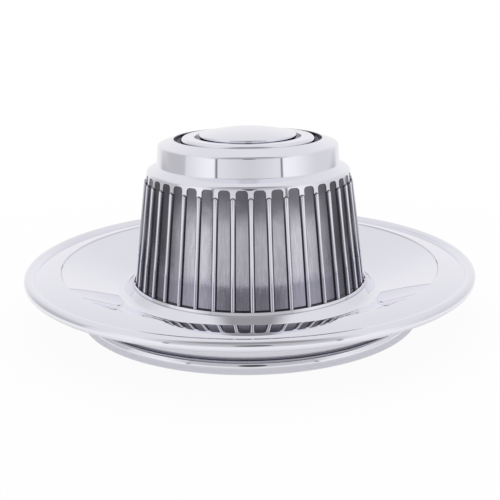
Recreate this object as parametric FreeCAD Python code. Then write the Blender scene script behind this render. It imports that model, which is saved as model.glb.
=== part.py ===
import FreeCAD, Part
import math
import os
from FreeCAD import Vector

# Wheel center cap: a finned barrel standing in a dished chrome flange, on a clip-on base ring.
# Millimetres, +Z up the axis, origin on the axis at the foot of the base ring.

# Finned barrel, moulded and plated
rib_count = 40
rib_width = 2.4
rib_height = 1.7
rib_tip_gap = 4.4
flute_foot_radius = 68.4
flute_foot_height = 21.2
flute_taper = 0.128
flute_top = 87.0
flute_depth = 0.5
bridge_width = 2.9
bridge_rounding = 2.0
bridge_bury = 0.8
barrel_wall = 2.0
barrel_flange_wall = 2.0
flange_rounding = 0.4
flange_gap = 3.4
shoulder_edge_rise = 1.6
shoulder_rise = 3.3
shoulder_rounding = 2.2
shoulder_width = 6.0
hat_foot_rounding = 1.5
hat_wall_rise = 11.6
hat_draft = 1.0
hat_rounding = 1.8
hat_lip_width = 9.65
hat_lip_rise = 3.25
recess_depth = 3.55
recess_lip_rounding = 1.2

# Top medallion with a raised ring, a groove and a domed disc
medallion_gap = 3.9
medallion_ring_width = 8.2
medallion_ring_height = 4.7
medallion_edge_rounding = 1.2
groove_width = 2.8
groove_depth = 2.2
disc_edge_height = 5.5
disc_edge_rounding = 0.8
dome_radius = 105.0
stud_count = 3
stud_inset = 8.7
stud_radius = 1.5
stud_length = 5.6
stud_clearance = 0.25
push_nut_radius = 5.0
push_nut_collar = 2.7
push_nut_bore_clearance = 0.05
push_nut_wall = 0.5
push_nut_rise = 0.9

# Flange dish, drawn sheet, from the collar round the barrel out to the rim
sheet = 0.9
collar_height = 22.1
collar_rounding = 0.6
collar_clearance = 0.25
cove_width = 9.1
cove_corner_height = 14.6
cove_rounding = 5.0
cove_slope = 45.0
dish_width = 36.2
crease_height = 31.8
crease_rounding = 1.2
brim_width = 21.3
brim_fall_inner = 5.0
brim_fall_outer = 14.0
brim_crown_margin = 2.1
gutter_rounding = 0.9
rim_drop = 3.3
rim_bead_radius = 3.2
rim_curl_length = 4.4
rim_flank_angle = 60.0

# Base ring, drawn sheet, welded under the dish
weld_gap = 0.05
wall_inset = 11.5
wall_rounding = 2.0
foot_hem = 4.4
foot_flare = 0.8
foot_rounding = 1.4
foot_bead_bulge = 1.7
foot_bead_height = 5.0
foot_bead_rounding = 6.0
ring_groove_height = 9.5
ring_groove_width = 2.2
ring_groove_depth = 1.5
ring_groove_rounding = 1.0
ring_groove_floor_rounding = 0.3
weld_width = 10.2
ledge_rounding = 1.2
ledge_reach = 3.5

# Spring clips and their rivets
clip_count = 5
clip_strip = 0.8
clip_width = 16.0
clip_heel_reach = 3.1
clip_back_gap = 4.8
clip_back_rounding = 2.0
clip_knee_height = 8.4
clip_knee_rounding = 1.6
clip_nose_reach = 6.9
clip_nose_height = 5.0
clip_nose_rounding = 1.8
clip_tail_reach = 4.1
clip_tail_height = 1.2
rivet_inset = 4.4
rivet_spacing = 8.0
rivet_radius = 1.25
rivet_clearance = 0.1
rivet_head_radius = 2.2
rivet_head_height = 1.1
rivet_head_rounding = 0.6

# Places that follow, outward from the barrel
cove_corner_radius = flute_foot_radius + cove_width
crease_radius = cove_corner_radius + dish_width
rim_radius = crease_radius + brim_width
rim_bead_height = crease_height - rim_drop
wall_radius = crease_radius - wall_inset
ledge_step_radius = wall_radius - weld_width
ledge_inner_radius = cove_corner_radius - ledge_reach
rivet_circle = ledge_step_radius - rivet_inset
barrel_flange_radius = rivet_circle - rivet_head_radius - flange_gap
clip_back_radius = wall_radius - clip_back_gap
clip_nose_radius = clip_back_radius - clip_nose_reach

# Places that follow, up the barrel
rib_tip = flute_top - rib_tip_gap
shoulder_edge_height = flute_top + shoulder_edge_rise
shoulder_top = shoulder_edge_height + shoulder_rise
hat_edge_height = shoulder_top + hat_wall_rise
crown_height = hat_edge_height + hat_lip_rise

origin = Vector(0, 0, 0)
axis = Vector(0, 0, 1)
shortest_edge = 1e-6


# Edges through (radius, height, rounding) corners in the XZ plane, each corner rounded by an arc
def rounded_edges(corners):
    points = [Vector(r, 0, z) for r, z, _ in corners]
    edges = []

    def run(first, last):
        if first.distanceToPoint(last) > shortest_edge:
            edges.append(Part.makeLine(first, last))

    start = points[0]
    for before, here, after, corner in zip(points, points[1:], points[2:], corners[1:]):
        into = (here - before).normalize()
        out = (after - here).normalize()
        rounding = corner[2]
        if rounding > 0:
            half_turn = into.getAngle(out) / 2
            reach = rounding * math.tan(half_turn)
            inward = (out - into).normalize()
            first = here - into * reach
            last = here + out * reach
            middle = here + inward * (rounding / math.cos(half_turn) - rounding)
            run(start, first)
            edges.append(Part.Arc(first, middle, last).toShape())
            start = last
        else:
            run(start, here)
            start = here
    run(start, points[-1])
    return edges


# Corners of a path moved to the left of its travel by a wall thickness
def moved_left(corners, wall):
    directions = []
    for (r0, z0, _), (r1, z1, _) in zip(corners, corners[1:]):
        length = math.hypot(r1 - r0, z1 - z0)
        directions.append(((r1 - r0) / length, (z1 - z0) / length))
    before = directions[:1] + directions
    after = directions + directions[-1:]
    moved = []
    for (r, z, rounding), (r0, z0), (r1, z1) in zip(corners, before, after):
        share = wall / (1 + r0 * r1 + z0 * z1)
        left_turn = r0 * z1 - z0 * r1 > 0
        new_rounding = rounding - wall if left_turn else rounding + wall
        moved.append((r - (z0 + z1) * share, z + (r0 + r1) * share, new_rounding if rounding > 0 else 0))
    return moved


# Strip of sheet with one wall thickness, to the left of a path
def sheet_face(corners, wall):
    outside = rounded_edges(corners)
    inside = rounded_edges(moved_left(corners, wall))
    first_cap = Part.makeLine(inside[0].Vertexes[0].Point, outside[0].Vertexes[0].Point)
    last_cap = Part.makeLine(outside[-1].Vertexes[-1].Point, inside[-1].Vertexes[-1].Point)
    return Part.Face(Part.Wire(outside + [last_cap] + inside[::-1] + [first_cap]))


def closed_face(corners):
    return Part.Face(Part.Wire(rounded_edges(corners + corners[:1])))


def turned(face):
    return face.revolve(origin, axis, 360)


def patterned(shape, count):
    copies = []
    for index in range(count):
        copy = shape.copy()
        copy.rotate(origin, axis, index * 360 / count)
        copies.append(copy)
    return copies


# Radius of the flute floor, the painted cone between the ribs
def flute_radius(height):
    return flute_foot_radius - flute_taper * (height - flute_foot_height)


# Underside of the dish where it rests on the barrel's flange, below the lowest point of the cove
def seat_height():
    into = math.radians(-cove_slope)
    out = dish_angle()
    half_turn = (out - into) / 2
    centre_height = cove_corner_height + cove_rounding / math.cos(half_turn) * math.cos((into + out) / 2)
    return centre_height - cove_rounding - sheet


def dish_angle():
    return math.atan2(crease_height - cove_corner_height, crease_radius - cove_corner_radius)


# The collar leans in with the barrel and clears its ribs
def collar_inner_radius(height):
    return flute_radius(height) + rib_height + collar_clearance


def ledge_height():
    return seat_height() - barrel_flange_wall


# Radii of the hat, each stepping in from the one below
def hat_foot_radius():
    return flute_radius(shoulder_edge_height) + flute_depth - shoulder_width


def hat_head_radius():
    return hat_foot_radius() - hat_draft


def recess_radius():
    return hat_head_radius() - hat_lip_width


def groove_inner_radius():
    return recess_radius() - medallion_gap - medallion_ring_width - groove_width


def stud_circle():
    return groove_inner_radius() - stud_inset


# Collar, cove, dish, crowned brim and curled rim bead, drawn as one sheet
def flange_dish():
    collar_radius = collar_inner_radius(seat_height()) + sheet
    collar_lip_radius = collar_inner_radius(collar_height) + sheet
    cove_top = cove_corner_height + (cove_corner_radius - collar_radius) * math.tan(math.radians(cove_slope))
    bead_radius = rim_radius - rim_bead_radius
    bead_top = rim_bead_height + rim_bead_radius
    bead_foot = rim_bead_height - rim_bead_radius
    flank = math.radians(rim_flank_angle)
    flank_top = bead_radius - rim_bead_radius * math.tan(flank / 2)
    inner_fall = math.tan(math.radians(brim_fall_inner))
    outer_fall = math.tan(math.radians(brim_fall_outer))
    crown_reach = (flank_top - crease_radius) / 2 - brim_crown_margin
    brim_crown_radius = crown_reach / math.tan(math.radians(brim_fall_outer - brim_fall_inner) / 2)
    crown_run = crown_reach * math.cos(math.radians(brim_fall_inner)) + crease_rounding
    crown_radius = crease_radius + crown_run
    crown_corner_height = crease_height - crown_run * inner_fall
    # The gutter lies where the falling brim meets the rising flank of the rim bead
    rise = math.tan(flank)
    gutter_radius = ((crown_corner_height + crown_radius * outer_fall) - (bead_top - flank_top * rise))
    gutter_radius /= rise + outer_fall
    gutter_height = crown_corner_height - (gutter_radius - crown_radius) * outer_fall
    path = [
        (bead_radius - rim_curl_length + rim_bead_radius, bead_foot, 0),
        (rim_radius, bead_foot, rim_bead_radius),
        (rim_radius, bead_top, rim_bead_radius),
        (flank_top, bead_top, rim_bead_radius),
        (gutter_radius, gutter_height, gutter_rounding),
        (crown_radius, crown_corner_height, brim_crown_radius),
        (crease_radius, crease_height, crease_rounding),
        (cove_corner_radius, cove_corner_height, cove_rounding),
        (collar_radius, cove_top, collar_rounding),
        (collar_lip_radius, collar_height, 0),
    ]
    return turned(sheet_face(path, sheet))


# Foot, bead, groove and wall outside, weld cone and ledge inside, drawn as one sheet
def base_ring():
    groove_radius = wall_radius - ring_groove_depth
    groove_foot = ring_groove_height - ring_groove_width / 2
    groove_head = ring_groove_height + ring_groove_width / 2
    foot_radius = wall_radius + foot_flare
    slope = math.tan(dish_angle())
    drop = (sheet + weld_gap) / math.cos(dish_angle())

    def weld_height(radius):
        return cove_corner_height + (radius - cove_corner_radius) * slope - drop

    path = [
        (foot_radius - foot_hem, 0, 0),
        (foot_radius, 0, foot_rounding),
        (wall_radius + foot_bead_bulge, foot_bead_height, foot_bead_rounding),
        (wall_radius, groove_foot, ring_groove_rounding),
        (groove_radius, groove_foot + ring_groove_floor_rounding, ring_groove_floor_rounding),
        (groove_radius, groove_head - ring_groove_floor_rounding, ring_groove_floor_rounding),
        (wall_radius, groove_head, ring_groove_rounding),
        (wall_radius, weld_height(wall_radius), wall_rounding),
        (ledge_step_radius, weld_height(ledge_step_radius), ledge_rounding),
        (ledge_step_radius, ledge_height(), ledge_rounding),
        (ledge_inner_radius, ledge_height(), 0),
    ]
    ring = turned(sheet_face(path, sheet))
    return ring.cut(Part.makeCompound(rivet_holes()))


# One straight rib with a round back and a ball end at its tip, buried a little in the wall
def rib():
    half = rib_width / 2
    foot = Vector(flute_radius(seat_height()), 0, seat_height())
    tip = Vector(flute_radius(rib_tip), 0, rib_tip)
    along = (tip - foot).normalize()
    outward = Vector(along.z, 0, -along.x)
    back = outward * (rib_height - half)
    length = foot.distanceToPoint(tip) - half
    bar = Part.makeCylinder(half, length, foot + back, along)
    ball = Part.makeSphere(half, foot + back + along * length)
    deep = bridge_bury + rib_height - half
    corner = foot - outward * bridge_bury - Vector(0, half, 0)
    web = Part.Face(Part.makePolygon([
        corner,
        corner + Vector(0, rib_width, 0),
        corner + Vector(0, rib_width, 0) + outward * deep,
        corner + outward * deep,
        corner,
    ])).extrude(along * length)
    stem = Part.makeCylinder(half, deep, foot + along * length - outward * bridge_bury, outward)
    return bar.fuse([ball, web, stem])


# Plated bridge between two flute heads, flared into the shoulder by two concave roundings
def bridge():
    half = bridge_width / 2
    head = Vector(flute_radius(flute_top), 0, flute_top)
    along = Vector(-flute_taper, 0, 1).normalize()
    outward = Vector(along.z, 0, -along.x)
    depth = flute_top - rib_tip + rib_width / 2

    def spot(across, down):
        return head + Vector(0, across, 0) - along * down - outward * bridge_bury

    flare = half + bridge_rounding
    bend = bridge_rounding * (1 - math.sqrt(0.5))
    edges = [
        Part.makeLine(spot(-half, depth), spot(half, depth)),
        Part.makeLine(spot(half, depth), spot(half, bridge_rounding)),
        Part.Arc(spot(half, bridge_rounding), spot(half + bend, bend), spot(flare, 0)).toShape(),
        Part.makeLine(spot(flare, 0), spot(-flare, 0)),
        Part.Arc(spot(-flare, 0), spot(-half - bend, bend), spot(-half, bridge_rounding)).toShape(),
        Part.makeLine(spot(-half, bridge_rounding), spot(-half, depth)),
    ]
    return Part.Face(Part.Wire(edges)).extrude(outward * (bridge_bury + flute_depth))


# Stud holes or studs stand on one circle about the axis
def stud_posts(radius, foot, height):
    return patterned(Part.makeCylinder(radius, height, Vector(stud_circle(), 0, foot)), stud_count)


def recess_floor():
    return crown_height - recess_depth


# Barrel, shoulder and hat as one moulded shell with flange, ribs and bridges
def finned_barrel():
    seat = seat_height()
    ledge = ledge_height()
    floor = recess_floor()
    land_radius = flute_radius(flute_top) + flute_depth
    edge_radius = flute_radius(shoulder_edge_height) + flute_depth
    ceiling = floor - barrel_wall
    hat_inner_head = hat_head_radius() + hat_draft / hat_wall_rise * (hat_edge_height - ceiling) - barrel_wall
    shoulder_under = shoulder_top - barrel_wall
    edge_under = shoulder_edge_height - barrel_wall
    section = [
        (0, floor, 0),
        (recess_radius(), floor, 0),
        (recess_radius(), crown_height, recess_lip_rounding),
        (hat_head_radius(), hat_edge_height, hat_rounding),
        (hat_foot_radius(), shoulder_top, hat_foot_rounding),
        (edge_radius, shoulder_edge_height, shoulder_rounding),
        (land_radius, flute_top, 0),
        (flute_radius(flute_top), flute_top, 0),
        (flute_radius(seat), seat, 0),
        (barrel_flange_radius, seat, flange_rounding),
        (barrel_flange_radius, ledge, flange_rounding),
        (flute_radius(ledge) - barrel_wall, ledge, flange_rounding),
        (flute_radius(edge_under) - barrel_wall, edge_under, shoulder_rounding),
        (hat_foot_radius() - barrel_wall, shoulder_under, hat_foot_rounding),
        (hat_inner_head, ceiling, hat_foot_rounding),
        (0, ceiling, 0),
    ]
    shell = turned(closed_face(section))
    shell = shell.fuse(patterned(rib(), rib_count) + patterned(bridge(), rib_count))
    holes = stud_posts(stud_radius + stud_clearance, ceiling - barrel_wall, 3 * barrel_wall)
    return shell.cut(Part.makeCompound(holes)).removeSplitter()


# Plate with a raised ring, a groove and a domed disc, on studs through the recess floor
def top_medallion():
    foot = recess_floor()
    ring_top = foot + medallion_ring_height
    edge_top = foot + disc_edge_height
    outer_radius = recess_radius() - medallion_gap
    disc_radius = groove_inner_radius()
    groove_floor = ring_top - groove_depth
    edge_angle = math.asin(disc_radius / dome_radius)
    dome_reach = dome_radius * math.tan(edge_angle / 2)
    crown = edge_top + (disc_radius - dome_reach) * math.tan(edge_angle)
    section = [
        (0, foot, 0),
        (outer_radius, foot, 0),
        (outer_radius, ring_top, medallion_edge_rounding),
        (disc_radius + groove_width, ring_top, medallion_edge_rounding / 2),
        (disc_radius + groove_width, groove_floor, 0),
        (disc_radius, groove_floor, 0),
        (disc_radius, edge_top, disc_edge_rounding),
        (dome_reach, crown, dome_radius),
        (0, crown, 0),
    ]
    plate = turned(closed_face(section))
    return plate.fuse(stud_posts(stud_radius, foot - stud_length, stud_length)).removeSplitter()


# Push-on nuts, one on each stud under the recess floor
def medallion_push_nuts():
    seat = recess_floor() - barrel_wall
    bore = stud_radius + push_nut_bore_clearance
    path = [
        (push_nut_radius, seat, 0),
        (push_nut_collar, seat, push_nut_wall * 2),
        (bore, seat - push_nut_rise, 0),
    ]
    nut = turned(sheet_face(path, push_nut_wall))
    nut.translate(Vector(stud_circle(), 0, 0))
    return Part.makeCompound(patterned(nut, stud_count))


def rivet_places():
    places = []
    for index in range(clip_count):
        turn = FreeCAD.Rotation(axis, index * 360 / clip_count)
        for side in (-1, 1):
            places.append(turn.multVec(Vector(rivet_circle, side * rivet_spacing / 2, 0)))
    return places


def rivet_holes():
    foot = ledge_height() - sheet - clip_strip - rivet_head_height
    height = sheet + clip_strip + 2 * rivet_head_height
    return [
        Part.makeCylinder(rivet_radius + rivet_clearance, height, place + Vector(0, 0, foot))
        for place in rivet_places()
    ]


# Bent strip springs under the ledge, with noses that snap over the wheel's hub lip
def spring_clips():
    top = ledge_height() - sheet
    path = [
        (rivet_circle - clip_heel_reach, top, 0),
        (clip_back_radius, top, clip_back_rounding),
        (clip_back_radius, clip_knee_height, clip_knee_rounding),
        (clip_nose_radius, clip_nose_height, clip_nose_rounding),
        (clip_nose_radius + clip_tail_reach, clip_tail_height, 0),
    ]
    strip = sheet_face(path[::-1], clip_strip)
    strip.translate(Vector(0, -clip_width / 2, 0))
    clip = strip.extrude(Vector(0, clip_width, 0))
    holes = Part.makeCompound(rivet_holes())
    return [blank.cut(holes) for blank in patterned(clip, clip_count)]


# Two rivets hold each clip to the ledge, heads above the ledge and under the clip
def clip_rivets():
    top = ledge_height()
    under = top - sheet - clip_strip
    section = [
        (0, under - rivet_head_height, 0),
        (rivet_head_radius, under - rivet_head_height, rivet_head_rounding),
        (rivet_head_radius, under, 0),
        (rivet_radius, under, 0),
        (rivet_radius, top, 0),
        (rivet_head_radius, top, 0),
        (rivet_head_radius, top + rivet_head_height, rivet_head_rounding),
        (0, top + rivet_head_height, 0),
    ]
    rivet = turned(closed_face(section))
    copies = []
    for place in rivet_places():
        copy = rivet.copy()
        copy.translate(place)
        copies.append(copy)
    return Part.makeCompound(copies)


def main():
    os.makedirs("parts", exist_ok=True)
    nodes = {
        "flange_dish": flange_dish(),
        "base_ring": base_ring(),
        "finned_barrel": finned_barrel(),
        "top_medallion": top_medallion(),
        "medallion_push_nuts": medallion_push_nuts(),
        "clip_rivets": clip_rivets(),
    }
    for index, clip in enumerate(spring_clips(), start=1):
        nodes[f"spring_clip_{index}"] = clip
    for name, shape in nodes.items():
        shape.exportStep(f"parts/{name}.step")
        print(name, "solids", len(shape.Solids), "valid", shape.isValid(), "volume", round(shape.Volume, 1))


main()
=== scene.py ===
import bmesh
import bpy
import math
from mathutils import Matrix, Vector


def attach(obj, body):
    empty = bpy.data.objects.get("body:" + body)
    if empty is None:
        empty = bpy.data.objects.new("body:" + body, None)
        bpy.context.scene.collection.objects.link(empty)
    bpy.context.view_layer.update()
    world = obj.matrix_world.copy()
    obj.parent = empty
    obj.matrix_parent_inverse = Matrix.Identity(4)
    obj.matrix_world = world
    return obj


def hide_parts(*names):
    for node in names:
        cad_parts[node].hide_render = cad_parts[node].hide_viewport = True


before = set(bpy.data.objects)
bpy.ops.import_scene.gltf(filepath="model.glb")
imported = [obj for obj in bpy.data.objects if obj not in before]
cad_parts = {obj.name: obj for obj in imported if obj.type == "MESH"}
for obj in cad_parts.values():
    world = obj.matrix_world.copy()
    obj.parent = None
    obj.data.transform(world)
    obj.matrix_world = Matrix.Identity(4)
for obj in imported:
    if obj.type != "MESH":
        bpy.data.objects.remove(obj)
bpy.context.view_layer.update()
mm = 0.001
tiny = 1e-4  # millimetres; points closer than this count as one
print("frame loaded:", len(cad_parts), "nodes")


# Shader maths: a wrapped socket, so that 1 - mask or mask * 0.2 adds its own Math node
class Wire:
    def __init__(self, book, socket):
        self.book = book
        self.socket = socket

    def math(self, operation, *others):
        values = {index: value for index, value in enumerate((self,) + others)}
        return self.book.add("ShaderNodeMath", {"operation": operation}, values)

    def reflected(self, operation, other):
        return self.book.add("ShaderNodeMath", {"operation": operation}, {0: other, 1: self})

    def __add__(self, other):
        return self.math("ADD", other)

    def __sub__(self, other):
        return self.math("SUBTRACT", other)

    def __mul__(self, other):
        return self.math("MULTIPLY", other)

    def __truediv__(self, other):
        return self.math("DIVIDE", other)

    def __rsub__(self, other):
        return self.reflected("SUBTRACT", other)

    def __rtruediv__(self, other):
        return self.reflected("DIVIDE", other)

    __radd__ = __add__
    __rmul__ = __mul__

    def ramp(self, low, high, first=0.0, last=1.0):
        limits = {"From Min": low, "From Max": high, "To Min": first, "To Max": last, "Value": self}
        return self.book.add("ShaderNodeMapRange", {"interpolation_type": "SMOOTHSTEP"}, limits)

    # A soft bump of height 1 round a place, falling to 0 at its reach
    def near(self, place, reach, core=0.0):
        return (self - place).math("ABSOLUTE").ramp(core, reach, 1.0, 0.0)


# One node tree, with one method that makes any node: its settings first, then its sockets
class NodeBook:
    def __init__(self, tree):
        self.tree = tree
        tree.nodes.clear()

    def add(self, kind, settings=None, sockets=None, out=0):
        node = self.tree.nodes.new(kind)
        for key, value in (settings or {}).items():
            setattr(node, key, value)
        for key, value in (sockets or {}).items():
            if isinstance(value, Wire):
                self.tree.links.new(value.socket, node.inputs[key])
            else:
                node.inputs[key].default_value = value
        return Wire(self, node.outputs[out]) if node.outputs else node

    def part(self, vector, axis):
        return self.add("ShaderNodeSeparateXYZ", {}, {0: vector}, axis)

    def rayIs(self, kind):
        return self.add("ShaderNodeLightPath", {}, {}, "Is " + kind + " Ray")

    def mixColours(self, factor, first, second):
        return self.add("ShaderNodeMix", {"data_type": "RGBA"}, {0: factor, 6: first, 7: second}, 2)

    def mixShaders(self, factor, first, second):
        return self.add("ShaderNodeMixShader", {}, {0: factor, 1: first, 2: second})

    def noise(self, place, scale, detail):
        values = {"Vector": place, "Scale": scale, "Detail": detail, "Roughness": 0.55}
        return self.add("ShaderNodeTexNoise", {}, values)

    def bump(self, height, strength, depth):
        values = {"Strength": strength, "Distance": depth * mm, "Height": height}
        return self.add("ShaderNodeBump", {}, values)

    def metal(self, colour, rough, normal):
        values = {"Base Color": colour, "Metallic": 1.0, "Roughness": rough, "Normal": normal}
        return self.add("ShaderNodeBsdfPrincipled", {}, values)

    def surface(self, shader):
        self.add("ShaderNodeOutputMaterial", {}, {"Surface": shader})


def newMaterial(name):
    material = bpy.data.materials.new(name)
    material.use_nodes = True
    return material, NodeBook(material.node_tree)


# The object's own coordinates; an upright scale below 1 draws noise out into streaks
def objectPlace(book, upright=1.0):
    place = book.add("ShaderNodeTexCoord", {}, {}, "Object")
    values = {"Vector": place, "Scale": (1.0, 1.0, upright)}
    return book.add("ShaderNodeMapping", {"vector_type": "POINT"}, values)


def heightOf(book, spot):
    return book.part(spot, "Z") / mm


def radiusOf(book, spot):
    x, y = book.part(spot, "X"), book.part(spot, "Y")
    return (x * x + y * y).math("SQRT") / mm


# Outlines: corners are (radius, height, rounding) in millimetres, and become points along lines and arcs
arcStep = math.radians(5.0)
turnedSharpAngle = 35.0


def roundedPath(corners):
    points = [Vector((r, z)) for r, z, _ in corners]
    path = [points[0]]
    for before, here, after, corner in zip(points, points[1:], points[2:], corners[1:]):
        into = (here - before).normalized()
        out = (after - here).normalized()
        rounding = corner[2]
        turn = into.angle(out)
        if rounding <= 0 or turn < tiny:
            path.append(here)
            continue
        inward = (out - into).normalized()
        along = (into + out).normalized()
        centre = here + inward * rounding / math.cos(turn / 2)
        steps = max(3, math.ceil(turn / arcStep))
        for index in range(steps + 1):
            angle = turn * (index / steps - 0.5)
            path.append(centre + (along * math.sin(angle) - inward * math.cos(angle)) * rounding)
    path.append(points[-1])
    thinned = path[:1]
    for point in path[1:]:
        if (point - thinned[-1]).length > tiny:
            thinned.append(point)
    return thinned


# The same corners moved to the left of their travel by a wall thickness
def movedLeft(corners, wall):
    ways = []
    for (r0, z0, _), (r1, z1, _) in zip(corners, corners[1:]):
        ways.append(Vector((r1 - r0, z1 - z0)).normalized())
    moved = []
    for (r, z, rounding), into, out in zip(corners, ways[:1] + ways, ways + ways[-1:]):
        share = wall / (1 + into.dot(out))
        leftTurn = into.x * out.y - into.y * out.x > 0
        if rounding > 0:
            rounding += -wall if leftTurn else wall
        moved.append((r - (into.y + out.y) * share, z + (into.x + out.x) * share, rounding))
    return moved


# Meshes are rings of points about the axis, with angle 0 at the front
def circlePoint(work, radius, height, angle):
    return work.verts.new((radius * mm * math.sin(angle), -radius * mm * math.cos(angle), height * mm))


def addRing(work, point, angles):
    if point.x < tiny:
        return [work.verts.new((0, 0, point.y * mm))]
    return [circlePoint(work, point.x, point.y, angle) for angle in angles]


# Faces between each ring and the next; finishOf gives a face's finish from its row and column
def skinRings(work, rings, finishOf):
    count = max(len(points) for points in rings)
    for row, (first, second) in enumerate(zip(rings, rings[1:] + rings[:1])):
        for column in range(count):
            after = (column + 1) % count
            corners = [first[column % len(first)], first[after % len(first)]]
            corners += [second[after % len(second)], second[column % len(second)]]
            corners = list(dict.fromkeys(corners))
            if len(corners) > 2:
                face = work.faces.new(corners)
                face.material_index = finishOf(row, column)


def finishMesh(name, work, sharpAngle):
    bmesh.ops.recalc_face_normals(work, faces=work.faces)
    mesh = bpy.data.meshes.new(name)
    work.to_mesh(mesh)
    work.free()
    mesh.shade_smooth()
    mesh.set_sharp_from_angle(angle=math.radians(sharpAngle))
    piece = bpy.data.objects.new(name, mesh)
    bpy.context.scene.collection.objects.link(piece)
    return piece


# Turn a closed outline about the axis; the rows from backFrom on get the second finish
def turnOutline(name, outline, segments, backFrom):
    work = bmesh.new()
    angles = [2 * math.pi * index / segments for index in range(segments)]
    rings = [addRing(work, point, angles) for point in outline]
    skinRings(work, rings, lambda row, column: int(row >= backFrom))
    return finishMesh(name, work, turnedSharpAngle)


def place(piece, node, slot, *materials):
    for material in materials:
        piece.data.materials.append(material)
    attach(piece, "root")
    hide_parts(node)
    print("made", piece.name, "with", len(piece.data.polygons), "faces")


# Bright plating, hazy in places, with painted shade in its grooves, creases, recesses and beside the ribs
# given as masks
chrome = {
    "colour": (0.875, 0.87, 0.945, 1), "haze": (0.012, 0.035), "hazeScale": 24.0, "hazeSpread": (0.35, 0.75),
    "hazeShade": 0.985, "wave": 0.012, "waveScale": 60.0, "waveDepth": 0.4,
    "shadeColour": (0.2, 0.195, 0.24, 1), "shadeFade": 0.1, "shadeFadeUp": 0.2,
}


def mirrorChrome(name, *shadedPlaces):
    material, book = newMaterial(name)
    spot = objectPlace(book)
    haze = book.noise(spot, chrome["hazeScale"], detail=5.0).ramp(*chrome["hazeSpread"])
    low, high = chrome["haze"]
    red, green, blue, _ = chrome["colour"]
    shade = chrome["hazeShade"]
    tint = book.mixColours(haze, chrome["colour"], (red * shade, green * shade, blue * shade, 1))
    for mask in shadedPlaces:
        tint = book.mixColours(mask(book, spot), tint, chrome["shadeColour"])
    wave = book.noise(spot, chrome["waveScale"], detail=2.0)
    normal = book.bump(wave, chrome["wave"], chrome["waveDepth"])
    book.surface(book.metal(tint, haze * (high - low) + low, normal))
    return material


# A ring of painted shade between two radii and two heights
def paintedShadeRing(inner, outer, foot, head, share=1.0):
    def mask(book, spot):
        radius, height = radiusOf(book, spot), heightOf(book, spot)
        side, end = chrome["shadeFade"], chrome["shadeFadeUp"]
        across = radius.ramp(inner - side, inner + side) * radius.ramp(outer - side, outer + side, 1.0, 0.0)
        return across * height.ramp(foot - end, foot + end) * height.ramp(head - end, head + end, share, 0.0)
    return mask


# Distance from the nearest rib's middle line, in millimetres round the barrel
def acrossRib(book, spot):
    pitch = 2 * math.pi / barrel["ribs"]
    turns = book.part(spot, "X").math("ARCTAN2", 0 - book.part(spot, "Y")) / pitch
    offset = (turns - turns.math("ROUND")).math("ABSOLUTE") * pitch
    return offset * radiusOf(book, spot)


# Painted shade along the flanks of each rib
def ribFlankShade(book, spot):
    half, width = barrel["ribWidth"] / 2, barrel["flankWidth"]
    below = heightOf(book, spot).ramp(tipFoot() - barrel["tipFade"], tipFoot(), barrel["flankShade"], 0.0)
    return acrossRib(book, spot).near(half, width, width / 2) * below


# Painted shade round each rib's tip, where it meets the bridge
def ribTipShade(book, spot):
    half, seam, fade = barrel["ribWidth"] / 2, barrel["tipShadeWidth"], barrel["tipFade"]
    across = acrossRib(book, spot)
    above = heightOf(book, spot) - tipFoot()
    away = (across * across + above * above).math("SQRT")
    return away.near(half + seam / 2, seam, seam / 2) * above.ramp(-fade, fade / 3)


# Satin paint in the flutes: fine upright streaks, with painted shade at the heads, feet and corners, and a
# darker copy mixed in as painted shade when seen aslant
flutePaint = {
    "dark": (0.52, 0.508, 0.575, 1), "light": (0.65, 0.638, 0.715, 1), "rough": (0.12, 0.2),
    "streakScale": 900.0, "streakUpright": 0.06, "streakSpread": (0.3, 0.7),
    "paintedShade": (0.18, 0.174, 0.198, 1), "headHeights": (60.0, 84.0), "cloudScale": 90.0, "cloudReach": 14.0,
    "footTop": 35.3, "footFade": 1.3, "footShade": 0.3,
    "edge": (0.05, 0.048, 0.06, 1), "ribShadeWidth": 0.6, "collarShadeLine": 0.5,
    "aslantShade": (0.12, 0.117, 0.135, 1), "aslantShadeSpread": (0.1, 0.5),
    "grain": 0.05, "grainScale": 4200.0, "grainDepth": 0.2,
}


def satinFlutePaint():
    material, book = newMaterial("satin_flute_paint")
    spot = objectPlace(book)
    height = heightOf(book, spot)
    along = objectPlace(book, flutePaint["streakUpright"])
    streak = book.noise(along, flutePaint["streakScale"], detail=4.0).ramp(*flutePaint["streakSpread"])
    colour = book.mixColours(streak, flutePaint["dark"], flutePaint["light"])
    # Painted shade: darker towards the heads and at the feet
    cloud = book.noise(spot, flutePaint["cloudScale"], detail=3.0) - 0.5
    headShade = (height + cloud * flutePaint["cloudReach"]).ramp(*flutePaint["headHeights"])
    footTop, fade = flutePaint["footTop"], flutePaint["footFade"]
    footShade = height.ramp(footTop - fade, footTop + fade, flutePaint["footShade"], 0.0)
    for paintedShade in (headShade, footShade):
        colour = book.mixColours(paintedShade, colour, flutePaint["paintedShade"])
    # Painted shade: dark lines in the corners along the ribs and above the collar
    reach, width, collar = barrel["ribWidth"] / 2, flutePaint["ribShadeWidth"], dish["collarHeight"]
    alongRib = acrossRib(book, spot).ramp(reach + width / 2, reach + width, 1.0, 0.0)
    alongCollar = height.ramp(collar, collar + flutePaint["collarShadeLine"], 1.0, 0.0)
    colour = book.mixColours(alongRib.math("MAXIMUM", alongCollar), colour, flutePaint["edge"])
    low, high = flutePaint["rough"]
    rough = streak * (high - low) + low
    grain = book.noise(spot, flutePaint["grainScale"], detail=2.0)
    normal = book.bump(grain, flutePaint["grain"], flutePaint["grainDepth"])
    # Painted shade: the darker copy of the paint takes over where the flutes are seen aslant
    facing = book.add("ShaderNodeLayerWeight", {}, {"Blend": 0.5}, "Facing")
    flake = book.metal(colour, rough, normal)
    shadedCopy = book.metal(flutePaint["aslantShade"], rough, normal)
    book.surface(book.mixShaders(facing.ramp(*flutePaint["aslantShadeSpread"]), flake, shadedCopy))
    return material


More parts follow.
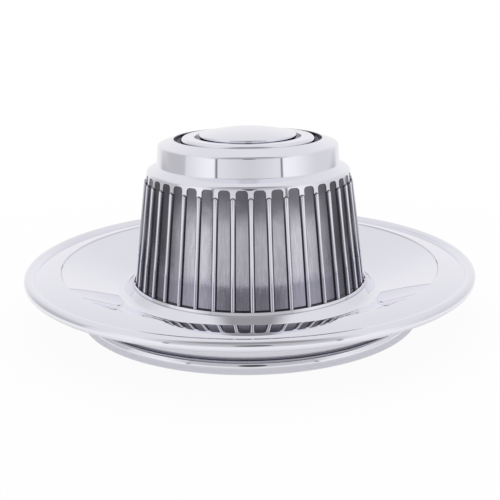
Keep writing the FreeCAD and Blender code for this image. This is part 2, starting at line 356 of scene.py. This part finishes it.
# Plain steels for the clips, the rivets and the backs of the sheets
steels = {
    "spring_steel": {"colour": (0.19, 0.2, 0.23, 1), "worn": (0.33, 0.32, 0.31, 1), "rough": 0.34},
    "rivet_steel": {"colour": (0.55, 0.55, 0.54, 1), "worn": (0.42, 0.42, 0.4, 1), "rough": 0.38},
    "plain_back": {"colour": (0.5, 0.5, 0.52, 1), "worn": (0.42, 0.42, 0.43, 1), "rough": 0.3},
}
brushing = {
    "scale": 1500.0, "upright": 0.1, "spread": (0.3, 0.7), "strength": 0.12, "depth": 0.2, "roughen": 0.12,
    "blotchScale": 160.0, "blotchSpread": (0.45, 0.75),
}


def brushedSteel(name):
    steel = steels[name]
    material, book = newMaterial(name + "_finish")
    along = objectPlace(book, brushing["upright"])
    brushed = book.noise(along, brushing["scale"], detail=3.0).ramp(*brushing["spread"])
    blotch = book.noise(objectPlace(book), brushing["blotchScale"], detail=4.0)
    blotch = blotch.ramp(*brushing["blotchSpread"])
    colour = book.mixColours(blotch, steel["colour"], steel["worn"])
    normal = book.bump(brushed, brushing["strength"], brushing["depth"])
    book.surface(book.metal(colour, brushed * brushing["roughen"] + steel["rough"], normal))
    return material


# Finned barrel: ribs and flutes, shoulder, hat with its recess, and the foot flange
barrel = {
    "ribs": 40, "ribWidth": 2.4, "ribHeight": 1.7, "ribTip": 82.6,
    "fluteFootRadius": 68.4, "fluteFootHeight": 21.2, "taper": 0.128, "fluteTop": 87.0, "fluteDepth": 0.5,
    "bridgeWidth": 2.9, "bridgeRounding": 2.0, "wall": 2.0,
    "footLedge": 1.5, "footLedgeDrop": 0.6,
    "flangeRadius": 82.0, "flangeWall": 2.0, "flangeRounding": 0.4, "flangeStart": 0.6,
    "shoulderEdge": 88.6, "shoulderRounding": 2.2, "shoulderTop": 91.9,
    "hatFoot": 54.27, "hatFootRounding": 0.5, "hatHead": 53.27, "hatEdge": 103.5, "hatRounding": 1.8,
    "crown": 106.75, "recess": 43.62, "recessDepth": 3.55, "recessLip": 0.5,
    "recessShadeOut": 0.33, "recessShadeUp": 0.05,
    "flankWidth": 0.35, "flankShade": 0.8, "tipShadeWidth": 0.4, "tipFade": 0.3,
    "fluteSteps": 4, "landSteps": 2, "backSteps": 10, "straightRows": 4, "tipRows": 8, "flareRows": 8,
    "sharpAngle": 32.0,
}


def fluteRadius(height):
    return barrel["fluteFootRadius"] - barrel["taper"] * (height - barrel["fluteFootHeight"])


# Height where a rib's ball end begins
def tipFoot():
    return barrel["ribTip"] - barrel["ribWidth"] / 2


def recessFloor():
    return barrel["crown"] - barrel["recessDepth"]


# Half-widths along one rib: the round back, and the raised land it stands on
def backHalf(height):
    half = barrel["ribWidth"] / 2
    above = height - tipFoot()
    if above <= 0:
        return half
    return math.sqrt(max(0.0, half * half - above * above))


def landHalf(height):
    rounding = barrel["bridgeRounding"]
    half = barrel["bridgeWidth"] / 2
    if height < tipFoot():
        return barrel["ribWidth"] / 2
    into = height - (barrel["fluteTop"] - rounding)
    if into <= 0:
        return half
    return half + rounding - math.sqrt(max(0.0, rounding * rounding - into * into))


def evenSteps(count):
    return [index / count for index in range(count + 1)]


# One row across a rib and half a flute each side, as (offset round the barrel, height above the floor)
def sectorRow(height, floorLift):
    depth = barrel["fluteDepth"]
    halfPitch = math.pi * fluteRadius(height) / barrel["ribs"]
    land, back = landHalf(height), backHalf(height)
    side = [(halfPitch + (land - halfPitch) * step, floorLift) for step in evenSteps(barrel["fluteSteps"])]
    side += [(land + (back - land) * step, depth) for step in evenSteps(barrel["landSteps"])]
    arc = []
    for step in evenSteps(barrel["backSteps"])[1:-1]:
        arc.append((back * math.cos(math.pi * step), depth + back * math.sin(math.pi * step)))
    mirrored = [(-across, lift) for across, lift in side[::-1]]
    return side + arc + mirrored[:-1]


# Rows up a flute: the straight stretch, the ribs' ball ends, and the flare of the bridges
def fluteHeights(ledge):
    half, rounding, quarter = barrel["ribWidth"] / 2, barrel["bridgeRounding"], math.pi / 2
    flareFoot = barrel["fluteTop"] - rounding
    heights = [ledge + (tipFoot() - ledge) * step for step in evenSteps(barrel["straightRows"])]
    heights.append(tipFoot() + tiny)
    heights += [tipFoot() + half * math.sin(quarter * step) for step in evenSteps(barrel["tipRows"])[1:]]
    heights += [flareFoot + rounding * math.sin(quarter * step) for step in evenSteps(barrel["flareRows"])]
    return heights


# Shoulder, hat and recess above the flutes, then the inside and the foot flange
def hatOutlines():
    seat, ledge, wall = seatHeight(), ledgeHeight(), barrel["wall"]
    ceiling = recessFloor() - wall
    lean = (barrel["hatFoot"] - barrel["hatHead"]) / (barrel["hatEdge"] - barrel["shoulderTop"])
    hatCeiling = barrel["hatHead"] + lean * (barrel["hatEdge"] - ceiling)
    edge, top = barrel["shoulderEdge"], barrel["shoulderTop"]
    land = fluteRadius(barrel["fluteTop"]) + barrel["fluteDepth"]
    outside = roundedPath([
        (land, barrel["fluteTop"], 0),
        (fluteRadius(edge) + barrel["fluteDepth"], edge, barrel["shoulderRounding"]),
        (barrel["hatFoot"], top, barrel["hatFootRounding"]),
        (barrel["hatHead"], barrel["hatEdge"], barrel["hatRounding"]),
        (barrel["recess"], barrel["crown"], barrel["recessLip"]),
        (barrel["recess"], recessFloor(), 0),
        (0, recessFloor(), 0),
    ])
    inside = roundedPath([
        (0, ceiling, 0),
        (hatCeiling - wall, ceiling, barrel["hatFootRounding"]),
        (barrel["hatFoot"] - wall, top - wall, barrel["hatFootRounding"]),
        (fluteRadius(edge - wall) - wall, edge - wall, barrel["shoulderRounding"]),
        (fluteRadius(ledge) - wall, ledge, barrel["flangeRounding"]),
        (barrel["flangeRadius"], ledge, barrel["flangeRounding"]),
        (barrel["flangeRadius"], seat, barrel["flangeRounding"]),
        (fluteRadius(seat) + barrel["ribHeight"] + barrel["flangeStart"], seat, 0),
    ])
    return outside[1:], inside


def makeFinnedBarrel():
    ledge = dish["collarHeight"] - barrel["footLedgeDrop"]
    footRows = [(height, barrel["footLedge"]) for height in (seatHeight(), ledge - tiny)]
    levels = footRows + [(height, 0.0) for height in fluteHeights(ledge)]
    levels.append((barrel["fluteTop"], barrel["fluteDepth"]))
    lean, pitch = math.atan(barrel["taper"]), 2 * math.pi / barrel["ribs"]
    work = bmesh.new()
    rings = []
    for height, floorLift in levels:
        radius, sector = fluteRadius(height), sectorRow(height, floorLift)
        points = []
        for rib in range(barrel["ribs"]):
            for across, lift in sector:
                out, up = lift * math.cos(lean), lift * math.sin(lean)
                points.append(circlePoint(work, radius + out, height + up, rib * pitch - across / radius))
        rings.append(points)
    angles = [math.atan2(point.co.x, -point.co.y) for point in rings[-1]]
    outside, inside = hatOutlines()
    rings += [addRing(work, point, angles) for point in outside + inside]
    paintFrom, paintTo, backFrom = len(footRows), len(levels) - 2, len(levels) + len(outside)
    floorSteps, sectorSteps = barrel["fluteSteps"], len(sector)

    # Plating, paint on the flute floors, and plain metal inside
    def finishOf(row, column):
        step = column % sectorSteps
        onFloor = step < floorSteps or step >= sectorSteps - floorSteps
        if onFloor and paintFrom <= row < paintTo:
            return 1
        return 2 if row >= backFrom else 0

    skinRings(work, rings, finishOf)
    bmesh.ops.remove_doubles(work, verts=work.verts, dist=10 * tiny * mm)
    bmesh.ops.dissolve_degenerate(work, edges=work.edges, dist=tiny * mm)
    # Painted shade in the recess round the medallion
    recessShade = paintedShadeRing(
        0, barrel["recess"] + barrel["recessShadeOut"],
        recessFloor() - chrome["shadeFadeUp"], barrel["crown"] + barrel["recessShadeUp"],
    )
    plating = mirrorChrome("plated_barrel", recessShade, ribFlankShade, ribTipShade)
    piece = finishMesh("finned_barrel_shell", work, barrel["sharpAngle"])
    place(piece, "finned_barrel", "barrel_chrome", plating, satinFlutePaint(), plainBack)


# Flange dish: one drawn sheet from the curled rim bead to the collar round the barrel
dish = {
    "sheet": 0.9, "rim": 135.0, "bead": 3.2, "beadHeight": 28.5, "curl": 4.4, "flankAngle": 60.0,
    "gutterRounding": 0.9, "fallInner": 5.0, "fallOuter": 14.0, "crownMargin": 2.1,
    "crease": (113.7, 31.8), "creaseRounding": 1.2, "stepDrop": 0.7, "stepDraft": 0.25, "stepRounding": 0.3,
    "coveCorner": (77.5, 14.6), "coveRounding": 5.0, "coveSlope": 45.0,
    "collarHeight": 22.1, "collarRounding": 0.6, "collarClearance": 0.25,
    "creaseShade": 0.22, "creaseShadeIn": 0.7, "creaseShadeDown": 1.1,
    "collarShade": 0.55, "collarShadeDown": 1.9, "collarShadeHeight": 0.5, "segments": 360,
}


def dishAngle():
    (creaseRadius, creaseHeight), (coveRadius, coveHeight) = dish["crease"], dish["coveCorner"]
    return math.atan2(creaseHeight - coveHeight, creaseRadius - coveRadius)


# The barrel's flange lies under the lowest point of the cove, and the ledge under the flange
def seatHeight():
    into, out = math.radians(-dish["coveSlope"]), dishAngle()
    rounding = dish["coveRounding"]
    centre = dish["coveCorner"][1] + rounding / math.cos((out - into) / 2) * math.cos((into + out) / 2)
    return centre - rounding - dish["sheet"]


def ledgeHeight():
    return seatHeight() - barrel["flangeWall"]


# Outside of the collar, which leans in with the barrel and clears its ribs
def collarRadius(height):
    return fluteRadius(height) + barrel["ribHeight"] + dish["collarClearance"] + dish["sheet"]


def makeFlangeDish():
    collar = collarRadius(seatHeight())
    (creaseRadius, creaseHeight), (coveRadius, coveHeight) = dish["crease"], dish["coveCorner"]
    coveTop = coveHeight + (coveRadius - collar) * math.tan(math.radians(dish["coveSlope"]))
    rim, bead = dish["rim"], dish["bead"]
    beadTop = dish["beadHeight"] + bead
    beadFoot = dish["beadHeight"] - bead
    rise = math.tan(math.radians(dish["flankAngle"]))
    flankTop = rim - bead - bead * math.tan(math.radians(dish["flankAngle"]) / 2)
    innerFall = math.tan(math.radians(dish["fallInner"]))
    outerFall = math.tan(math.radians(dish["fallOuter"]))
    reach = (flankTop - creaseRadius) / 2 - dish["crownMargin"]
    crownRounding = reach / math.tan(math.radians(dish["fallOuter"] - dish["fallInner"]) / 2)
    run = reach * math.cos(math.radians(dish["fallInner"])) + dish["creaseRounding"]
    crownRadius = creaseRadius + run
    crownHeight = creaseHeight - run * innerFall
    gutter = (crownHeight + crownRadius * outerFall - beadTop + flankTop * rise) / (rise + outerFall)
    brim = [
        (rim - dish["curl"], beadFoot, 0),
        (rim, beadFoot, bead),
        (rim, beadTop, bead),
        (flankTop, beadTop, bead),
        (gutter, crownHeight - (gutter - crownRadius) * outerFall, dish["gutterRounding"]),
        (crownRadius, crownHeight, crownRounding),
    ]
    middle = [
        (coveRadius, coveHeight, dish["coveRounding"]),
        (collar, coveTop, dish["collarRounding"]),
        (collarRadius(dish["collarHeight"]), dish["collarHeight"], 0),
    ]
    # The crease has a small step on the face and a plain rounding on the back
    step = [
        (creaseRadius, creaseHeight, dish["stepRounding"]),
        (creaseRadius - dish["stepDraft"], creaseHeight - dish["stepDrop"], dish["stepRounding"]),
    ]
    bend = [(creaseRadius, creaseHeight, dish["creaseRounding"])]
    face = roundedPath(brim + step + middle)
    outline = face + roundedPath(movedLeft(brim + bend + middle, dish["sheet"]))[::-1]
    # Painted shade in the crease and in a line round the collar
    creaseShade = paintedShadeRing(
        creaseRadius - dish["creaseShadeIn"], creaseRadius + chrome["shadeFade"],
        creaseHeight - dish["creaseShadeDown"], creaseHeight + chrome["shadeFadeUp"], dish["creaseShade"],
    )
    lineFoot = dish["collarHeight"] - dish["collarShadeDown"]
    lineRadius = collarRadius(lineFoot)
    collarShade = paintedShadeRing(
        lineRadius - dish["sheet"], lineRadius + dish["sheet"],
        lineFoot, lineFoot + dish["collarShadeHeight"], dish["collarShade"],
    )
    plating = mirrorChrome("plated_dish", creaseShade, collarShade)
    piece = turnOutline("flange_dish_shell", outline, dish["segments"], len(face))
    place(piece, "flange_dish", "bright_chrome", plating, plainBack)


# Base ring: foot bead, groove and wall outside, weld cone and ledge inside
ring = {
    "weldGap": 0.05, "wall": 102.2, "wallRounding": 2.0,
    "footInner": 98.6, "foot": 103.0, "footRounding": 1.4,
    "bead": 103.9, "beadHeight": 5.0, "beadRounding": 6.0,
    "grooveFoot": 7.4, "grooveHead": 9.4, "groove": 100.7, "grooveRounding": 1.0, "grooveFloorRounding": 0.3,
    "grooveBrightLip": 0.4, "grooveBrightTop": 0.7,
    "step": 92.0, "ledgeRounding": 1.2, "ledgeInner": 74.0, "segments": 320,
}


def makeBaseRing():
    slope = math.tan(dishAngle())
    drop = (dish["sheet"] + ring["weldGap"]) / math.cos(dishAngle())
    coveRadius, coveHeight = dish["coveCorner"]
    floorRounding = ring["grooveFloorRounding"]

    def weldHeight(radius):
        return coveHeight + (radius - coveRadius) * slope - drop

    corners = [
        (ring["footInner"], 0, 0),
        (ring["foot"], 0, ring["footRounding"]),
        (ring["bead"], ring["beadHeight"], ring["beadRounding"]),
        (ring["wall"], ring["grooveFoot"], ring["grooveRounding"]),
        (ring["groove"], ring["grooveFoot"] + floorRounding, floorRounding),
        (ring["groove"], ring["grooveHead"] - floorRounding, floorRounding),
        (ring["wall"], ring["grooveHead"], ring["grooveRounding"]),
        (ring["wall"], weldHeight(ring["wall"]), ring["wallRounding"]),
        (ring["step"], weldHeight(ring["step"]), ring["ledgeRounding"]),
        (ring["step"], ledgeHeight(), ring["ledgeRounding"]),
        (ring["ledgeInner"], ledgeHeight(), 0),
    ]
    face = roundedPath(corners)
    outline = face + roundedPath(movedLeft(corners, dish["sheet"]))[::-1]
    # Painted shade in the groove
    grooveShade = paintedShadeRing(
        ring["groove"] - dish["sheet"], ring["wall"] - ring["grooveBrightLip"],
        ring["grooveFoot"] - chrome["shadeFadeUp"], ring["grooveHead"] - ring["grooveBrightTop"],
    )
    plating = mirrorChrome("plated_ring", grooveShade)
    piece = turnOutline("base_ring_shell", outline, ring["segments"], len(face))
    place(piece, "base_ring", "bright_chrome", plating, plainBack)


# Medallion: raised ring, groove and domed disc, resting on the recess floor
medallion = {
    "radius": 39.72, "ringHeight": 4.4, "edgeRounding": 2.6,
    "grooveOuter": 31.52, "grooveInner": 28.72, "grooveDepth": 2.2, "grooveRounding": 0.6,
    "discEdge": 5.5, "discRounding": 0.8, "dome": 105.0, "domeSteps": 16, "segments": 256,
    "grooveShade": 0.7, "grooveBrightTop": 1.1, "edgeShade": 0.6, "edgeShadeIn": 1.3, "edgeShadeHeight": 2.7,
}


def makeMedallion():
    foot, margin = recessFloor(), chrome["shadeFadeUp"]
    ringTop = foot + medallion["ringHeight"]
    edgeTop = foot + medallion["discEdge"]
    grooveFloor = ringTop - medallion["grooveDepth"]
    radius, outer, inner = medallion["radius"], medallion["grooveOuter"], medallion["grooveInner"]
    angle = math.asin(inner / medallion["dome"])
    crown = edgeTop + (inner - medallion["dome"] * math.tan(angle / 2)) * math.tan(angle)

    def domeHeight(away):
        return crown - medallion["dome"] + math.sqrt(medallion["dome"] ** 2 - away ** 2)

    domeRadii = [inner * (1 - step) for step in evenSteps(medallion["domeSteps"])[1:]]
    outline = roundedPath([
        (0, foot, 0),
        (radius, foot, 0),
        (radius, ringTop, medallion["edgeRounding"]),
        (outer, ringTop, medallion["grooveRounding"]),
        (outer, grooveFloor, 0),
        (inner, grooveFloor, 0),
        (inner, edgeTop, medallion["discRounding"]),
        (domeRadii[0], domeHeight(domeRadii[0]), 0),
    ])
    outline += [Vector((away, domeHeight(away))) for away in domeRadii[1:]]
    # Painted shade in the groove and round the foot of the raised ring
    grooveShade = paintedShadeRing(
        inner - margin, outer + margin,
        grooveFloor - margin, ringTop - medallion["grooveBrightTop"], medallion["grooveShade"],
    )
    edgeShade = paintedShadeRing(
        radius - medallion["edgeShadeIn"], radius + margin,
        foot - margin, foot + medallion["edgeShadeHeight"], medallion["edgeShade"],
    )
    plating = mirrorChrome("plated_medallion", grooveShade, edgeShade)
    piece = turnOutline("top_medallion_plate", outline, medallion["segments"], len(outline))
    place(piece, "top_medallion", "barrel_chrome", plating)


plainBack = brushedSteel("plain_back")
makeFlangeDish()
makeBaseRing()
makeFinnedBarrel()
makeMedallion()

# Clips, rivets and push-on nuts keep their solids and get their steels
springSteel = brushedSteel("spring_steel")
rivetSteel = brushedSteel("rivet_steel")
for name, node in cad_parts.items():
    if name.startswith("spring_clip") or name == "medallion_push_nuts":
        steel = springSteel
    elif name == "clip_rivets":
        steel = rivetSteel
    else:
        continue
    node.data.materials.clear()
    node.data.materials.append(steel)
print("steel finishes set")

# Camera as in the photograph, fitted to the rim, the barrel and the foot; degrees and millimetres
camera = {
    "elevation": 16.01, "distance": 516.82, "aim": (0.43, 0.0, 37.05), "turn": -1.18, "roll": -0.76,
    "focalPixels": 841.23, "imagePixels": 500, "sensor": 36.0, "clipStart": 10.0,
}


def addCamera():
    data = bpy.data.cameras.new("photo_camera")
    data.sensor_width = camera["sensor"]
    data.lens = camera["sensor"] * camera["focalPixels"] / camera["imagePixels"]
    data.clip_start = camera["clipStart"] * mm
    lift = math.radians(camera["elevation"])
    back = Vector((0, -math.cos(lift), math.sin(lift)))
    aim = Vector(camera["aim"])
    turn = Matrix.Rotation(math.radians(camera["turn"]), 4, "Z")
    look = (-back).to_track_quat("-Z", "Y").to_matrix().to_4x4()
    roll = Matrix.Rotation(math.radians(camera["roll"]), 4, "Z")
    item = bpy.data.objects.new("photo_camera", data)
    item.matrix_world = turn @ Matrix.Translation((aim + back * camera["distance"]) * mm) @ look @ roll
    bpy.context.scene.collection.objects.link(item)
    bpy.context.scene.camera = item


# Light tent: the brightness of its parts, and the turns from the front and lifts where each starts or ends
tent = {
    "front": 0.7, "frontEdge": 0.82, "frontLow": 0.5, "frontLowLift": (-4.4, -3.2),
    "barAngle": 40.0, "barWidth": 2.6, "barShade": 0.25, "barEdge": 1.0,
    "side": 0.99, "sideEnd": 0.74, "sideTurn": (45.0, 95.0),
    "leftShade": 0.56, "leftTurn": (82.0, 86.0), "leftEndTurn": (110.0, 150.0),
    "rear": 0.9, "rearTurn": (110.0, 160.0),
    "seamShade": 0.5, "seamLift": -10.0, "seamReach": 6.0, "seamCore": 3.0,
    "seamTurn": (60.0, 95.0), "seamEndTurn": (125.0, 145.0),
    "table": 0.9, "tableLift": (-26.0, -18.0), "zenith": 0.82, "zenithLift": (10.0, 42.0),
    "opening": 0.55, "openingTop": 0.34, "openingTurn": (30.0, 65.0),
    "openingLift": (1.0, 10.0), "openingTopLift": (34.0, 42.0), "openingEndLift": (70.0, 90.0),
    "spotShade": 0.15, "spotLift": 14.0, "spotWide": 10.0, "spotTall": 11.0, "spotEdge": 0.8,
    "fill": 0.95,
}


def blend(first, mask, second):
    return first + mask * (second - first)


def tentStrength(book):
    way = book.add("ShaderNodeTexCoord", {}, {}, "Generated")
    x, y, z = [book.part(way, axis) for axis in "XYZ"]
    degrees = 180 / math.pi
    azimuth = x.math("ARCTAN2", 0 - y) * degrees
    lift = z.math("ARCSINE") * degrees
    aside, leftward = azimuth.math("ABSOLUTE"), 0 - azimuth
    # Walls: grey in front between two dark bars, bright beside them, dimmer at the sides, bright at the rear
    bar, edge = tent["barAngle"], tent["barEdge"]
    wall = aside.ramp(0, bar, tent["front"], tent["frontEdge"])
    wall = blend(wall, lift.ramp(*tent["frontLowLift"], 1.0, 0.0), tent["frontLow"])
    wall = blend(wall, aside.ramp(bar - edge, bar + edge), tent["side"])
    wall = wall + aside.ramp(*tent["sideTurn"]) * (tent["sideEnd"] - tent["side"])
    wall = wall + aside.ramp(*tent["rearTurn"]) * (tent["rear"] - tent["sideEnd"])
    left = leftward.ramp(*tent["leftTurn"]) * leftward.ramp(*tent["leftEndTurn"], 1.0, 0.0)
    wall = wall + left * (tent["leftShade"] - tent["sideEnd"])
    wall = wall * (1 - aside.near(bar, tent["barWidth"]) * (1 - tent["barShade"]))
    # The seam between the table and the walls lies dark at the sides
    seam = lift.near(tent["seamLift"], tent["seamReach"], tent["seamCore"])
    seam = seam * aside.ramp(*tent["seamTurn"]) * aside.ramp(*tent["seamEndTurn"], 1.0, 0.0)
    wall = wall * (1 - seam * (1 - tent["seamShade"]))
    wall = blend(wall, lift.ramp(*tent["tableLift"], 1.0, 0.0), tent["table"])
    wall = blend(wall, lift.ramp(*tent["zenithLift"]), tent["zenith"])
    # The darker front opening above, and a dark spot in it
    front = lift.ramp(*tent["openingLift"]) * lift.ramp(*tent["openingEndLift"], 1.0, 0.0)
    front = front * aside.ramp(*tent["openingTurn"], 1.0, 0.0)
    wall = blend(wall, front, lift.ramp(*tent["openingTopLift"], tent["opening"], tent["openingTop"]))
    across, above = aside / tent["spotWide"], (lift - tent["spotLift"]) / tent["spotTall"]
    spread = (across * across + above * above).math("SQRT")
    return wall * spread.ramp(tent["spotEdge"], 1.0, tent["spotShade"], 1.0)


def addTent():
    world = bpy.data.worlds.new("light_tent")
    world.use_nodes = True
    bpy.context.scene.world = world
    book = NodeBook(world.node_tree)

    def background(strength):
        return book.add("ShaderNodeBackground", {}, {"Strength": strength, "Color": (1, 1, 1, 1)})

    lit = book.mixShaders(book.rayIs("Glossy"), background(tent["fill"]), background(tentStrength(book)))
    seen = book.mixShaders(book.rayIs("Camera"), lit, background(1.0))
    book.add("ShaderNodeOutputWorld", {}, {"Surface": seen})


# Plain pale floor that keeps a soft contact shadow
floor = {"radius": 340.0, "sides": 128, "colour": (0.95, 0.95, 0.955, 1), "glow": 0.94, "mirrorGlow": 0.4}


def addFloor():
    mesh = bpy.data.meshes.new("floor")
    radius, sides = floor["radius"] * mm, floor["sides"]
    turns = [2 * math.pi * index / sides for index in range(sides)]
    edge = [(radius * math.cos(turn), radius * math.sin(turn), 0) for turn in turns]
    mesh.from_pydata(edge, [], [list(range(sides))])
    item = bpy.data.objects.new("floor", mesh)
    bpy.context.scene.collection.objects.link(item)
    material, book = newMaterial("pale_floor")
    white = book.add("ShaderNodeEmission", {}, {"Color": (1, 1, 1, 1), "Strength": 1.0})
    matte = book.add("ShaderNodeBsdfDiffuse", {}, {"Color": floor["colour"]})
    bounced = book.rayIs("Glossy") + book.rayIs("Transmission")
    share = book.rayIs("Camera") * floor["glow"] + bounced * floor["mirrorGlow"]
    book.surface(book.mixShaders(share, matte, white))
    mesh.materials.append(material)


addCamera()
addTent()
addFloor()
bpy.context.scene.view_settings.view_transform = "Standard"
print("camera, tent and floor set")
